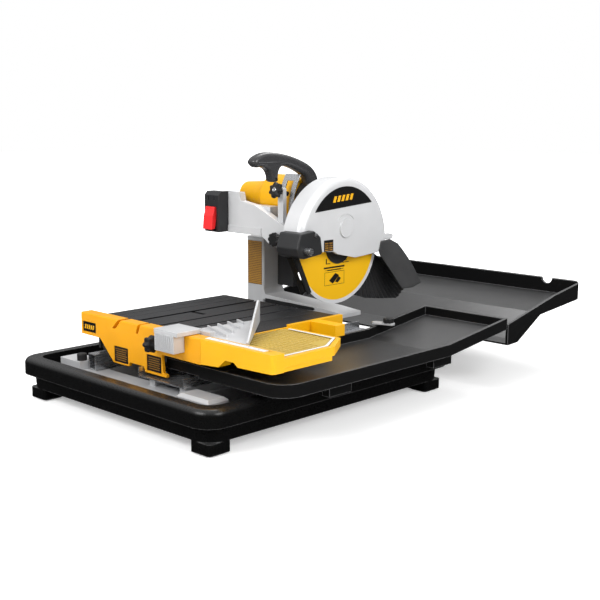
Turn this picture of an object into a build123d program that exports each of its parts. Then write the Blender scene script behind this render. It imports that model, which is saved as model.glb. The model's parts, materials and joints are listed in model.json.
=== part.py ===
from build123d import *
import os

# Wet tile saw: a water pan with two splash trays, a rolling cutting cart and a
# plunging, bevelling saw head. Millimetres. +X is the operator's right, +Y points
# from the operator to the back, +Z is up. The origin is on the ground, in the
# middle of the outline.

# ---- driving dimensions -------------------------------------------------------
OUT_X = 336  # half of the overall width
OUT_Y = 540  # half of the overall length

BLADE_X, BLADE_Y, BLADE_Z = 26, 35, 297
BLADE_R = 127
BLADE_T = 2.0
CUT_DEPTH = 5  # how far the blade dips below the table top at rest

TABLE_TOP = BLADE_Z - BLADE_R + CUT_DEPTH
TABLE_T = 12
TABLE_LEFT, TABLE_RIGHT = -202, 144
TABLE_FRONT, TABLE_REAR = -432, -89
TABLE_UNDER = TABLE_TOP - TABLE_T

FENCE_TOP = TABLE_TOP + 9
FENCE_FRONT = -459
FENCE_LEFT = -218
EXT_JOINT = 149  # X where the extension meets the fence
EXT_RIGHT = 332
EXT_REAR = -244

BEVEL_X, BEVEL_Z = -41, 328  # axis of the bevel, along Y
PLUNGE_Y, PLUNGE_Z = 105, 369  # axis of the plunge, along X
KERF = 7

PAN_LEFT, PAN_RIGHT = -334, 260
PAN_FRONT, PAN_REAR = -OUT_Y, 145
RIM_LOW, RIM_TOP = 54, 87
PAN_FLOOR = 24
PAN_WALL = 4
PAN_TAPER = 4
PAN_INSET = 18  # body walls inside the rim, at the floor

TRACK_LEFT, TRACK_RIGHT = -19, 114
TRACK_Z = 88
TRACK_T = 2.5
TRACK_FRONT, TRACK_BACK = -470, 160

TRAY_T = 4
SIDE_RIM = 127
SIDE_FLOOR = 103
SIDE_INNER = 118
SIDE_FRONT = -438
SIDE_BEND = 27
SIDE_REAR = 229
SIDE_RISE = 25

COLUMN_LEFT, COLUMN_RIGHT = -267, -210
COLUMN_FRONT, COLUMN_BACK = 40, 103
COLUMN_TOP = 287

SHAFT_GAP = 0.05  # radial running clearance

os.makedirs("parts", exist_ok=True)


# ---- shared shapes ------------------------------------------------------------
def star_knob(radius, height, lobes, bore):
    """Star knob standing on the local XY plane, for Locations or Plane placement."""
    with BuildPart(mode=Mode.PRIVATE) as knob:
        with BuildSketch():
            Circle(radius * 0.8)
            with PolarLocations(radius * 0.72, lobes):
                Circle(radius * 0.28)
        extrude(amount=height)
        chamfer(knob.edges().group_by(Axis.Z)[-1], 1)
        with BuildSketch(Plane.XY.offset(-height * 0.5)):
            Circle(radius * 0.42)
        extrude(amount=height * 0.5)
        with BuildSketch(Plane.XY.offset(-height * 0.5)):
            Circle(bore)
        extrude(amount=height * 0.9, mode=Mode.SUBTRACT)
    return knob.part


def yz(x):
    """Plane across the saw at x: local x is row Y, local y is row Z, normal +X."""
    return Plane(origin=(x, 0, 0), x_dir=(0, 1, 0), z_dir=(1, 0, 0))


def xz(y):
    """Plane across the saw at y: local x is row X, local y is row Z, normal -Y."""
    return Plane(origin=(0, y, 0), x_dir=(1, 0, 0), z_dir=(0, -1, 0))


def tilted_kerf(angle):
    """Slab the blade sweeps when it leans by angle about the bevel axis."""
    slab = Box(KERF, 760, 320, mode=Mode.PRIVATE)
    slab = Pos(BLADE_X - BEVEL_X, -270, BLADE_Z - BEVEL_Z) * slab
    return Pos(BEVEL_X, 0, BEVEL_Z) * (Rot(0, angle, 0) * slab)


# ---- water pan ----------------------------------------------------------------
PAN_W, PAN_L = PAN_RIGHT - PAN_LEFT, PAN_REAR - PAN_FRONT
PAN_MID = ((PAN_RIGHT + PAN_LEFT) / 2, (PAN_REAR + PAN_FRONT) / 2)
FOOT_SPREAD = (PAN_W - 2 * PAN_INSET - 52, PAN_L - 2 * PAN_INSET - 52)

with BuildPart() as pan:
    with BuildSketch(Plane.XY.offset(RIM_LOW)):
        with Locations(PAN_MID):
            RectangleRounded(PAN_W, PAN_L, 42)
    extrude(amount=RIM_TOP - RIM_LOW)
    fillet(pan.edges().group_by(Axis.Z)[-1], 12)
    with BuildSketch(Plane.XY.offset(RIM_LOW)):
        with Locations(PAN_MID):
            RectangleRounded(PAN_W - 8, PAN_L - 8, 38)
            RectangleRounded(PAN_W - 26, PAN_L - 26, 34, mode=Mode.SUBTRACT)
    extrude(amount=14, mode=Mode.SUBTRACT)
    with BuildSketch(Plane.XY.offset(PAN_FLOOR)):
        with Locations(PAN_MID):
            RectangleRounded(PAN_W - 2 * PAN_INSET, PAN_L - 2 * PAN_INSET, 34)
    extrude(amount=RIM_TOP - PAN_FLOOR - 8, taper=-PAN_TAPER)
    with BuildSketch(Plane.XY.offset(PAN_FLOOR + PAN_WALL)):
        with Locations(PAN_MID):
            RectangleRounded(PAN_W - 66, PAN_L - 66, 26)
    extrude(amount=RIM_TOP - PAN_FLOOR, taper=-PAN_TAPER, mode=Mode.SUBTRACT)
    with BuildSketch(Plane.XY.offset(PAN_FLOOR)):
        with Locations(PAN_MID):
            RectangleRounded(PAN_W - 44, PAN_L - 44, 30)
            RectangleRounded(PAN_W - 56, PAN_L - 56, 28, mode=Mode.SUBTRACT)
    extrude(amount=50, mode=Mode.SUBTRACT)
    with BuildSketch(Plane.XY.offset(3)):
        with Locations(PAN_MID):
            with GridLocations(*FOOT_SPREAD, 2, 2):
                RectangleRounded(52, 52, 8)
    extrude(amount=PAN_FLOOR - 3)

with BuildPart() as foot_pads:
    with BuildSketch():
        with Locations(PAN_MID):
            with GridLocations(*FOOT_SPREAD, 2, 2):
                RectangleRounded(40, 40, 6)
    extrude(amount=3)

# ---- side splash tray ---------------------------------------------------------
def side_tray_block(inset, low, high):
    """Body of the side tray between two heights above its bent floor line."""
    x_low, x_high = SIDE_INNER + inset, OUT_X - inset
    y_low, y_high = SIDE_FRONT + inset, SIDE_REAR - inset
    with BuildPart(mode=Mode.PRIVATE) as block:
        with BuildSketch(yz(x_low)):
            with BuildLine():
                Polyline(
                    (y_low, SIDE_FLOOR + low),
                    (SIDE_BEND, SIDE_FLOOR + low),
                    (y_high, SIDE_FLOOR + SIDE_RISE + low),
                    (y_high, SIDE_FLOOR + SIDE_RISE + high),
                    (SIDE_BEND, SIDE_FLOOR + high),
                    (y_low, SIDE_FLOOR + high),
                    close=True,
                )
            make_face()
        extrude(amount=x_high - x_low)
        corner = block.edges().filter_by(Axis.Z).sort_by(Axis.Y)[:2].sort_by(Axis.X)[-1]
        fillet(corner, 44 - inset)
    return block.part


with BuildPart() as side_tray:
    add(side_tray_block(0, 0, SIDE_RIM - SIDE_FLOOR))
    add(side_tray_block(TRAY_T + 2, TRAY_T, 80), mode=Mode.SUBTRACT)
    with Locations((SIDE_INNER - 46, SIDE_FRONT + 3, SIDE_RIM - 10)):
        Box(92, 6, 20)
    with Locations((244, 60, 99), (244, -250, 99)):
        Box(14, 70, 10)
    with Locations((286, 60, 88), (286, -250, 88)):
        Box(18, 60, 34)

# ---- rear splash tray ---------------------------------------------------------
REAR_LEFT = -OUT_X
REAR_FRONT = 151
REAR_WALL_TOP = 196


def rear_tray_block(inset, low, high_drop):
    """Body of the rear tray above its rising floor; low lifts the floor."""
    with BuildPart(mode=Mode.PRIVATE) as block:
        with BuildSketch(yz(REAR_LEFT + inset)):
            with BuildLine():
                Polyline(
                    (REAR_FRONT + inset, 90 + low),
                    (272, 94 + low),
                    (360, 142 + low),
                    (OUT_Y - inset, 158 + low),
                    (OUT_Y - inset, REAR_WALL_TOP + high_drop),
                    (420, 178 + high_drop),
                    (REAR_FRONT + inset, 120 + high_drop),
                    close=True,
                )
            make_face()
        extrude(amount=2 * (OUT_X - inset))
    return block.part


with BuildPart() as rear_tray:
    add(rear_tray_block(0, 0, 0))
    with BuildSketch(Plane.XY):
        with Locations((OUT_X, OUT_Y)):
            Rectangle(52, 52)
        with Locations((OUT_X - 26, OUT_Y - 26)):
            Circle(26, mode=Mode.SUBTRACT)
    extrude(amount=300, mode=Mode.SUBTRACT)
    add(rear_tray_block(TRAY_T + 2, TRAY_T, 60), mode=Mode.SUBTRACT)
    with Locations(Plane(origin=(244, OUT_Y, REAR_WALL_TOP), z_dir=(0, 1, 0))):
        Cylinder(14, 60, mode=Mode.SUBTRACT)
    with Locations(((SIDE_INNER + OUT_X) / 2, SIDE_REAR / 2 + 75, 140)):
        Box(OUT_X - SIDE_INNER + 8, SIDE_REAR - 149 + 8, 200, mode=Mode.SUBTRACT)
    with Locations((0, REAR_FRONT, 110)):
        Box(236, 60, 60, mode=Mode.SUBTRACT)

# ---- cast chassis and track ---------------------------------------------------
CHASSIS_FRONT, CHASSIS_BACK = -486, 98
CHASSIS_MID = -38
CHASSIS_W = 430
COLUMN_SEAT = 82

with BuildPart() as chassis:
    with Locations((CHASSIS_MID, CHASSIS_FRONT + 25, 54)):
        Box(CHASSIS_W, 50, 34)
    with Locations((CHASSIS_MID, CHASSIS_BACK - 34, 54)):
        Box(CHASSIS_W, 68, 34)
    for x in (TRACK_LEFT + 14, TRACK_RIGHT - 14, -178):
        with Locations((x, -196, 55)):
            Box(26, 540, 30)
    with Locations((CHASSIS_MID, CHASSIS_FRONT + 20, 33), (CHASSIS_MID, CHASSIS_BACK - 20, 33)):
        with GridLocations(396, 1, 2, 1):
            Box(40, 30, 10)
    with Locations((156, CHASSIS_FRONT + 24, 77)):
        Box(86, 48, 16)
    chamfer(chassis.faces().sort_by(Axis.Z)[-1].edges(), 6)
    with Locations((-227, CHASSIS_FRONT + 26, 79)):
        Box(68, 46, 18)
    with Locations((-235, 68, (COLUMN_SEAT + 66) / 2)):
        Box(58, 58, COLUMN_SEAT - 66)
    with Locations((TRACK_LEFT + 22, -185, 78), (TRACK_RIGHT - 22, -185, 78)):
        Box(16, 540, 20)

with BuildPart() as slide_track:
    track_w = TRACK_RIGHT - TRACK_LEFT
    with BuildSketch(xz(TRACK_FRONT)):
        with Locations(((TRACK_LEFT + TRACK_RIGHT) / 2, TRACK_Z + 9)):
            Rectangle(track_w, 18)
        with Locations(((TRACK_LEFT + TRACK_RIGHT) / 2, TRACK_Z + TRACK_T + 10)):
            Rectangle(track_w - 2 * TRACK_T, 20, mode=Mode.SUBTRACT)
    extrude(amount=-(TRACK_BACK - TRACK_FRONT))

LEFT_RAIL_X, LEFT_RAIL_TOP = -178, 104
with BuildPart() as left_rail:
    with BuildSketch(xz(TRACK_FRONT + 6)):
        with Locations((LEFT_RAIL_X, LEFT_RAIL_TOP - 16)):
            Rectangle(24, 32)
            Rectangle(19, 27, mode=Mode.SUBTRACT)
    extrude(amount=-(34 - TRACK_FRONT))

with BuildPart() as cart_stop:
    with BuildSketch(Plane.XY.offset(SIDE_RIM + 7)):
        with Locations((136, 62)):
            SlotOverall(50, 16, rotation=20)
    extrude(amount=4.5)

with BuildPart() as cart_stop_knob:
    with BuildSketch(Plane.XY.offset(SIDE_RIM + 11.7)):
        with Locations((146, 66)):
            Circle(11)
            with PolarLocations(12, 6):
                Circle(3, mode=Mode.SUBTRACT)
    extrude(amount=9.5)
    fillet(cart_stop_knob.edges().group_by(Axis.Z)[-1], 1)

# ---- pump ---------------------------------------------------------------------
with BuildPart() as water_pump:
    with BuildSketch(Plane.XY.offset(PAN_FLOOR + PAN_WALL + 0.5)):
        with Locations((-245, -12)):
            RectangleRounded(40, 56, 6)
    extrude(amount=44)
    with BuildSketch(Plane.XY.offset(PAN_FLOOR + PAN_WALL + 44)):
        with Locations((-245, -12)):
            Circle(8)
    extrude(amount=14)

with BuildPart() as pump_hose:
    with BuildLine() as hose_path:
        Spline((-245, -12, 88), (-245, -4, 108), (-242, 14, 122), (-240, 37, 126))
    with BuildSketch(Plane(origin=(-245, -12, 88), z_dir=(hose_path.line % 0))):
        Circle(5)
    sweep()

# ---- cutting cart -------------------------------------------------------------
KERF_FLOOR = TABLE_TOP - 9.6
kerf_zone = Pos(0, -270, KERF_FLOOR + 40) * Box(700, 800, 80, mode=Mode.PRIVATE)
kerf_cuts = [tilted_kerf(angle) & kerf_zone for angle in (0, 22.5, 45)]
ROD_ROWS = (-280, -200)
ROD_R = 4
ROD_Z = 158
LUG_ROWS = (86, 130)

with BuildPart() as cart_table:
    with Locations((0, (TABLE_FRONT + TABLE_REAR) / 2, TABLE_TOP - TABLE_T / 2)):
        with Locations(((TABLE_LEFT + TABLE_RIGHT) / 2, 0, 0)):
            Box(TABLE_RIGHT - TABLE_LEFT, TABLE_REAR - TABLE_FRONT, TABLE_T)
    fillet(cart_table.edges().filter_by(Axis.Z), 4)
    for cut in kerf_cuts:
        add(cut, mode=Mode.SUBTRACT)
    with Locations((-80, -272, TABLE_TOP)):
        Box(46, 12, 8, mode=Mode.SUBTRACT)
    for x in (-172, -142, 82):
        with Locations((x, (TABLE_FRONT + TABLE_REAR) / 2, TABLE_TOP)):
            Box(2.4, TABLE_REAR - TABLE_FRONT - 30, 2.4, mode=Mode.SUBTRACT)
    for x in LUG_ROWS:
        for y in ROD_ROWS:
            with Locations((x, y, TABLE_UNDER - 5)):
                Box(16, 20, 10)
            with Locations(Plane(origin=(x, y, ROD_Z), z_dir=(1, 0, 0))):
                Cylinder(ROD_R + SHAFT_GAP, 40, mode=Mode.SUBTRACT)

FENCE_T = 27
APRON_T = 6
with BuildPart() as front_fence:
    with BuildSketch(xz(FENCE_FRONT)):
        with BuildLine():
            Polyline(
                (FENCE_LEFT, FENCE_TOP),
                (EXT_JOINT, FENCE_TOP),
                (EXT_JOINT, 137),
                (FENCE_LEFT, 140),
                close=True,
            )
        make_face()
    extrude(amount=-FENCE_T)
    chamfer(front_fence.edges().filter_by(Axis.X).group_by(Axis.Z)[-1], 2)
    with BuildSketch(xz(FENCE_FRONT)):
        with BuildLine():
            Polyline(
                (-158, 142),
                (-112, 98),
                (-62, 98),
                (-60, 106),
                (-16, 106),
                (-12, 96),
                (52, 96),
                (52, 101),
                (42, 103),
                (38, 142),
                close=True,
            )
        make_face()
    extrude(amount=-APRON_T)
    with BuildSketch(xz(FENCE_FRONT)):
        with Locations((-87, 116), (15, 116)):
            Rectangle(44, 32)
        with Locations((-191, 156)):
            Rectangle(44, 21)
    extrude(amount=-1.5, mode=Mode.SUBTRACT)
    for cut in kerf_cuts:
        add(cut, mode=Mode.SUBTRACT)

with BuildPart() as label_plates:
    with BuildSketch(xz(FENCE_FRONT + 0.5)):
        with Locations((-87, 116), (15, 116)):
            Rectangle(42, 30)
        with Locations((-191, 156)):
            Rectangle(42, 19)
    extrude(amount=-0.9)

with BuildPart() as fence_scale:
    with BuildSketch(Plane.XY.offset(FENCE_TOP)):
        with Locations((-96, FENCE_FRONT + 15), (232, FENCE_FRONT + 15)):
            Rectangle(40, 12)
        with Locations((226, FENCE_FRONT + 15)):
            Rectangle(150, 12)
    extrude(amount=0.8)
    with Locations((-96, FENCE_FRONT + 15, FENCE_TOP)):
        Box(60, 30, 4, mode=Mode.SUBTRACT)

CARRIAGE = {"left": 48, "right": 108, "front": -420, "rear": -300}
ROLLER_R = 12
AXLE_R = 4
AXLE_Z = TRACK_Z + TRACK_T + 12.1
AXLE_ROWS = (-402, -318)
with BuildPart() as carriage:
    mid_x = (CARRIAGE["left"] + CARRIAGE["right"]) / 2
    mid_y = (CARRIAGE["front"] + CARRIAGE["rear"]) / 2
    depth = CARRIAGE["rear"] - CARRIAGE["front"]
    with Locations((mid_x, mid_y, TABLE_UNDER - 3)):
        Box(CARRIAGE["right"] - CARRIAGE["left"], depth, 6)
    for x in (CARRIAGE["left"] + 2, CARRIAGE["right"] - 2):
        with Locations((x, mid_y, (TABLE_UNDER + AXLE_Z) / 2 - 4)):
            Box(4, depth, TABLE_UNDER - AXLE_Z + 8)
    for y in AXLE_ROWS:
        with Locations(Plane(origin=(mid_x, y, AXLE_Z), z_dir=(1, 0, 0))):
            Cylinder(AXLE_R + SHAFT_GAP, 90, mode=Mode.SUBTRACT)
    fillet(carriage.edges().filter_by(Axis.X).group_by(Axis.Z)[-1], 2)


def roller_set(y):
    """Axle with two rollers between the carriage's side plates."""
    with BuildPart(mode=Mode.PRIVATE) as rollers:
        with BuildSketch(yz(CARRIAGE["left"] - 3)):
            with Locations((y, AXLE_Z)):
                Circle(AXLE_R)
        extrude(amount=CARRIAGE["right"] - CARRIAGE["left"] + 6)
        for x in (CARRIAGE["left"] + 5, CARRIAGE["right"] - 17):
            with BuildSketch(yz(x)):
                with Locations((y, AXLE_Z)):
                    Circle(ROLLER_R)
            extrude(amount=12)
            chamfer(rollers.edges().filter_by(GeomType.CIRCLE).filter_by(
                lambda e: abs(e.radius - ROLLER_R) < 0.1 and abs(e.center().X - x) < 13), 1)
    return rollers.part


with BuildPart() as front_rollers:
    add(roller_set(AXLE_ROWS[0]))

with BuildPart() as rear_rollers:
    add(roller_set(AXLE_ROWS[1]))

LEFT_ROLLER_Y = -421
LEFT_ROLLER_Z = LEFT_RAIL_TOP + 10.1
with BuildPart() as roller_bracket:
    with Locations((LEFT_RAIL_X, LEFT_ROLLER_Y, TABLE_UNDER - 3)):
        Box(48, 20, 6)
    with Locations((LEFT_RAIL_X, LEFT_ROLLER_Y, 135)):
        with GridLocations(38, 1, 2, 1):
            Box(6, 20, 52)
    with Locations(Plane(origin=(LEFT_RAIL_X, LEFT_ROLLER_Y, LEFT_ROLLER_Z), z_dir=(1, 0, 0))):
        Cylinder(AXLE_R + SHAFT_GAP, 90, mode=Mode.SUBTRACT)

with BuildPart() as left_roller:
    with BuildSketch(yz(LEFT_RAIL_X - 24)):
        with Locations((LEFT_ROLLER_Y, LEFT_ROLLER_Z)):
            Circle(AXLE_R)
    extrude(amount=48)
    with BuildSketch(yz(LEFT_RAIL_X - 10)):
        with Locations((LEFT_ROLLER_Y, LEFT_ROLLER_Z)):
            Circle(10)
    extrude(amount=20)

with BuildPart() as lock_knob:
    with BuildSketch(Plane.XY.offset(88.2)):
        with Locations((-205, FENCE_FRONT - 10)):
            Circle(10)
    extrude(amount=14)
    fillet(lock_knob.edges().group_by(Axis.Z)[-1], 3)

# ---- cart extension -----------------------------------------------------------
with BuildPart() as extension:
    with BuildSketch(xz(FENCE_FRONT)):
        with BuildLine():
            Polyline(
                (EXT_JOINT + 0.3, FENCE_TOP),
                (EXT_RIGHT, FENCE_TOP),
                (EXT_RIGHT, 151),
                (246, 149),
                (236, 156),
                (214, 156),
                (196, 141),
                (EXT_JOINT + 0.3, 138),
                close=True,
            )
        make_face()
    extrude(amount=-FENCE_T)
    corner = extension.edges().filter_by(Axis.Z).sort_by(Axis.X)[-2:].sort_by(Axis.Y)[0]
    fillet(corner, 8)
    with BuildSketch(Plane.XY.offset(TABLE_UNDER - 4)):
        with BuildLine():
            Polyline(
                (EXT_JOINT + 0.3, FENCE_FRONT + FENCE_T),
                (EXT_RIGHT, FENCE_FRONT + FENCE_T),
                (EXT_RIGHT - 2, -306),
                (EXT_RIGHT - 44, EXT_REAR),
                (EXT_JOINT + 0.3, EXT_REAR),
                close=True,
            )
        make_face()
    extrude(amount=TABLE_T + 4)
    with BuildSketch(Plane.XY.offset(TABLE_TOP)):
        with BuildLine():
            Polyline(
                (EXT_JOINT + 5, FENCE_FRONT + FENCE_T),
                (EXT_RIGHT - 10, FENCE_FRONT + FENCE_T),
                (EXT_RIGHT - 12, -310),
                (EXT_RIGHT - 48, EXT_REAR - 8),
                (EXT_JOINT + 5, EXT_REAR - 8),
                close=True,
            )
        make_face()
    extrude(amount=-8, mode=Mode.SUBTRACT)
    with Locations((EXT_RIGHT - 6, -372, 160)):
        Box(8, 120, 18)
    with Locations((155, -170, 170)):
        Box(9, 150, 20)
    with Locations((190, -176, 169)):
        Box(72, 26, 22)

with BuildPart() as extension_deck:
    with BuildSketch(Plane.XY.offset(TABLE_TOP - 7.8)):
        with BuildLine():
            Polyline(
                (EXT_JOINT + 6, FENCE_FRONT + FENCE_T + 0.5),
                (EXT_RIGHT - 11, FENCE_FRONT + FENCE_T + 0.5),
                (EXT_RIGHT - 13, -310.5),
                (EXT_RIGHT - 49, EXT_REAR - 8.5),
                (EXT_JOINT + 6, EXT_REAR - 8.5),
                close=True,
            )
        make_face()
    extrude(amount=6.3)
    ribs = 16
    pitch = (EXT_REAR - FENCE_FRONT - FENCE_T - 22) / ribs
    for i in range(ribs):
        y = FENCE_FRONT + FENCE_T + 9 + i * pitch
        reach = EXT_RIGHT - 20 if y < -318 else EXT_RIGHT - 58
        with Locations(((EXT_JOINT + 8 + reach) / 2, y, TABLE_TOP - 1)):
            Box(reach - EXT_JOINT - 8, 3.4, 2)

with BuildPart() as extension_rods:
    for y in ROD_ROWS:
        with BuildSketch(yz(66)):
            with Locations((y, ROD_Z)):
                Circle(ROD_R)
        extrude(amount=EXT_JOINT + 0.3 - 66)

# ---- edge guide ---------------------------------------------------------------
GUIDE_FOOT = TABLE_TOP + 1
GUIDE_KNOB_Y, GUIDE_KNOB_Z = FENCE_FRONT - 18, 159
with BuildPart() as edge_guide:
    with Locations((78, FENCE_FRONT - 13, 171.5)):
        Box(54, 25, 37)
    with Locations((82, FENCE_FRONT + 4, FENCE_TOP + 5)):
        Box(66, 58, 8)
    for k in range(9):
        with Locations((55.6 + 5.6 * k, FENCE_FRONT - 26, 171)):
            Box(2, 2, 28)
    with Locations(Plane(origin=(55, GUIDE_KNOB_Y, GUIDE_KNOB_Z), z_dir=(1, 0, 0))):
        Cylinder(3.5 + SHAFT_GAP, 12, mode=Mode.SUBTRACT)
    with Locations((110, FENCE_FRONT + 36, 184)):
        Box(60, 12, 12)
    with BuildSketch(Plane.XY.offset(GUIDE_FOOT + 1)):
        with BuildLine():
            Polyline((62, -422), (229, -422), (80, -254), close=True)
        make_face()
    extrude(amount=4)
    for k in range(4):
        with Locations(Location((118 - 12 * k, -392 + 30 * k, GUIDE_FOOT + 6.5), (0, 0, -20))):
            Box(96 - 22 * k, 3, 7)
    with BuildSketch(Plane(origin=(230, -424, GUIDE_FOOT + 1), x_dir=(-0.66, 0.75, 0),
                           z_dir=(0.75, 0.66, 0))):
        with BuildLine():
            Polyline((0, 0), (228, 0), (228, 40), (206, 46), (20, 10), (0, 8), close=True)
        make_face()
    extrude(amount=4)

with BuildPart() as guide_knob:
    with Locations(Plane(origin=(38, GUIDE_KNOB_Y, GUIDE_KNOB_Z), z_dir=(-1, 0, 0))):
        add(star_knob(16, 14, 7, 3))
    with BuildSketch(yz(30)):
        with Locations((GUIDE_KNOB_Y, GUIDE_KNOB_Z)):
            Circle(3.5)
    extrude(amount=27)

# ---- column -------------------------------------------------------------------
with BuildPart() as column:
    mid = (COLUMN_LEFT + COLUMN_RIGHT) / 2
    deep = (COLUMN_FRONT + COLUMN_BACK) / 2
    with BuildSketch(Plane.XY.offset(COLUMN_SEAT)):
        with Locations((mid, deep)):
            RectangleRounded(COLUMN_RIGHT - COLUMN_LEFT, COLUMN_BACK - COLUMN_FRONT, 5)
            RectangleRounded(
                COLUMN_RIGHT - COLUMN_LEFT - 12, COLUMN_BACK - COLUMN_FRONT - 12, 3,
                mode=Mode.SUBTRACT)
    extrude(amount=COLUMN_TOP - COLUMN_SEAT)
    with BuildSketch(xz(COLUMN_FRONT)):
        with BuildLine():
            Polyline(
                (COLUMN_RIGHT - 2, 178),
                (COLUMN_RIGHT + 5, 160),
                (-21, 150),
                (36, 145),
                (36, 136),
                (-60, 126),
                (COLUMN_RIGHT - 2, 110),
                close=True,
            )
        make_face()
    extrude(amount=-(COLUMN_BACK - COLUMN_FRONT))
    with Locations((mid, deep, COLUMN_TOP + 3)):
        Box(COLUMN_RIGHT - COLUMN_LEFT - 2, COLUMN_BACK - COLUMN_FRONT - 2, 6)
    with Locations((-138, COLUMN_FRONT + 10, 143)):
        Box(146, 24, 9, mode=Mode.SUBTRACT)

with BuildPart() as column_panel:
    with Locations((COLUMN_RIGHT + 26, COLUMN_BACK - 9, 234)):
        Box(51, 16, 112)

with BuildPart() as column_label:
    with Locations((mid, COLUMN_FRONT - 0.6, 232)):
        Box(46, 1, 102)

with BuildPart() as frame_bolts:
    for x in (COLUMN_LEFT + 14, COLUMN_RIGHT - 14):
        for y in (COLUMN_FRONT + 14, 83):
            with BuildSketch(Plane.XY.offset(COLUMN_SEAT)):
                with Locations((x, y)):
                    Circle(3.5)
            extrude(amount=5)
    for y in (TRACK_FRONT + 45, -190, 20):
        with BuildSketch(Plane.XY.offset(TRACK_Z + TRACK_T)):
            with Locations((TRACK_LEFT + 22, y)):
                RegularPolygon(5, 6)
        extrude(amount=3.5)

# ---- bevel bracket, pin and arm -----------------------------------------------
PIN_R = 12
BRACKET_FRONT, BRACKET_BACK = 119.5, 135
with BuildPart() as pivot_bracket:
    with BuildSketch(xz(BRACKET_FRONT)):
        with BuildLine():
            Polyline(
                (COLUMN_LEFT, 190),
                (COLUMN_RIGHT, 190),
                (BEVEL_X + 10, BEVEL_Z - 26),
                (BEVEL_X + 26, BEVEL_Z),
                (BEVEL_X + 10, BEVEL_Z + 24),
                (BEVEL_X - 20, BEVEL_Z + 20),
                (COLUMN_RIGHT, 288),
                (COLUMN_LEFT, 288),
                close=True,
            )
        make_face()
    extrude(amount=-(BRACKET_BACK - BRACKET_FRONT))
    with Locations((mid, (COLUMN_BACK + BRACKET_FRONT) / 2, 239)):
        Box(COLUMN_RIGHT - COLUMN_LEFT, BRACKET_FRONT - COLUMN_BACK, 98)
    with Locations(Plane(origin=(BEVEL_X, 128, BEVEL_Z), z_dir=(0, 1, 0))):
        Cylinder(PIN_R, 60, mode=Mode.SUBTRACT)

with BuildPart() as bevel_pin:
    with BuildSketch(xz(84)):
        with Locations((BEVEL_X, BEVEL_Z)):
            Circle(PIN_R)
    extrude(amount=-(BRACKET_BACK + 3 - 84))

ARM_FRONT = -60
EAR_L, EAR_R = -182, -104
EAR_T = 10
PLUNGE_PIN_R = 8
STRAP_R = 143  # depth strap, swept about the plunge axis
STRAP_X = -59
KNOB_ANGLE = 15
KNOB_STEM_R = 5
knob_axis = Plane(
    origin=(STRAP_X, PLUNGE_Y, PLUNGE_Z),
    x_dir=(1, 0, 0),
    z_dir=Vector(0, -1, 0).rotate(Axis.X, -KNOB_ANGLE),
)
with BuildPart() as arm:
    with BuildSketch(xz(ARM_FRONT)):
        with BuildLine():
            Polyline(
                (-219, 404), (-182, 404), (-177, 385), (-134, 378), (-102, 365),
                (-22, 330), (-28, 319), (-86, 296), (-112, 313), (-219, 313),
                close=True,
            )
        make_face()
    extrude(amount=-16)
    with Locations((-160, -30, 345)):
        Box(118, 28, 62)
    with Locations((-165.5, 28, 321)):
        Box(107, 180, 16)
    with BuildSketch(xz(100)):
        with BuildLine():
            Polyline(
                (-219, 313), (-80, 300), (-20, 300), (-14, 340), (-40, 352), (-219, 350),
                close=True,
            )
        make_face()
    extrude(amount=-18)
    for x in (EAR_L, EAR_R):
        with Locations((x + EAR_T / 2, 105, 352)):
            Box(EAR_T, 26, 62)
    with Locations((STRAP_X, -49, 372)):
        Box(16, 10, 96)
    fillet(arm.edges().filter_by(Axis.Y).group_by(Axis.Z)[-1], 4)
    with Locations(Plane(origin=(BEVEL_X, 109, BEVEL_Z), z_dir=(0, 1, 0))):
        Cylinder(PIN_R + SHAFT_GAP, 60, mode=Mode.SUBTRACT)
    with Locations(Plane(origin=(-140, PLUNGE_Y, PLUNGE_Z), z_dir=(1, 0, 0))):
        Cylinder(PLUNGE_PIN_R, 120, mode=Mode.SUBTRACT)
    with Locations(knob_axis.offset(STRAP_R + 18)):
        Cylinder(KNOB_STEM_R + SHAFT_GAP, 40, mode=Mode.SUBTRACT)

with BuildPart() as plunge_pin:
    with BuildSketch(yz(EAR_L - 2)):
        with Locations((PLUNGE_Y, PLUNGE_Z)):
            Circle(PLUNGE_PIN_R)
    extrude(amount=EAR_R - EAR_L + EAR_T + 4)

SWITCH_X, SWITCH_Z = -243, 359
with BuildPart() as switch_box:
    with Locations((SWITCH_X, -74.5, SWITCH_Z)):
        Box(47, 29, 90)
    chamfer(switch_box.edges().filter_by(Axis.X).sort_by(Axis.Z)[-2:].sort_by(Axis.Y)[0], 8)
    with Locations((SWITCH_X, -38, SWITCH_Z + 4)):
        Box(46, 44, 76)
    with Locations((SWITCH_X - 2, -90, 344)):
        Box(36, 14, 54, mode=Mode.SUBTRACT)
    for x in (SWITCH_X - 10, SWITCH_X + 8):
        with Locations((x, -89, 389)):
            Box(5, 4, 9, mode=Mode.SUBTRACT)

with BuildPart() as switch_paddle:
    with BuildSketch(yz(SWITCH_X - 17)):
        with BuildLine():
            Polyline((-92, 366), (-87, 366), (-85, 352), (-91, 322), (-101, 320), (-98, 350),
                     close=True)
        make_face()
        with Locations((-89.5, 367)):
            Circle(3.5)
    extrude(amount=30)

with BuildPart() as bevel_knob:
    with Locations(Plane(origin=(-62, ARM_FRONT - 5.5, 310), z_dir=(0, -1, 0))):
        add(star_knob(15, 10, 8, 0.5))

# ---- plunging head ------------------------------------------------------------
MOTOR_Y, MOTOR_Z = BLADE_Y, 392
MOTOR_R = 43

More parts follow.
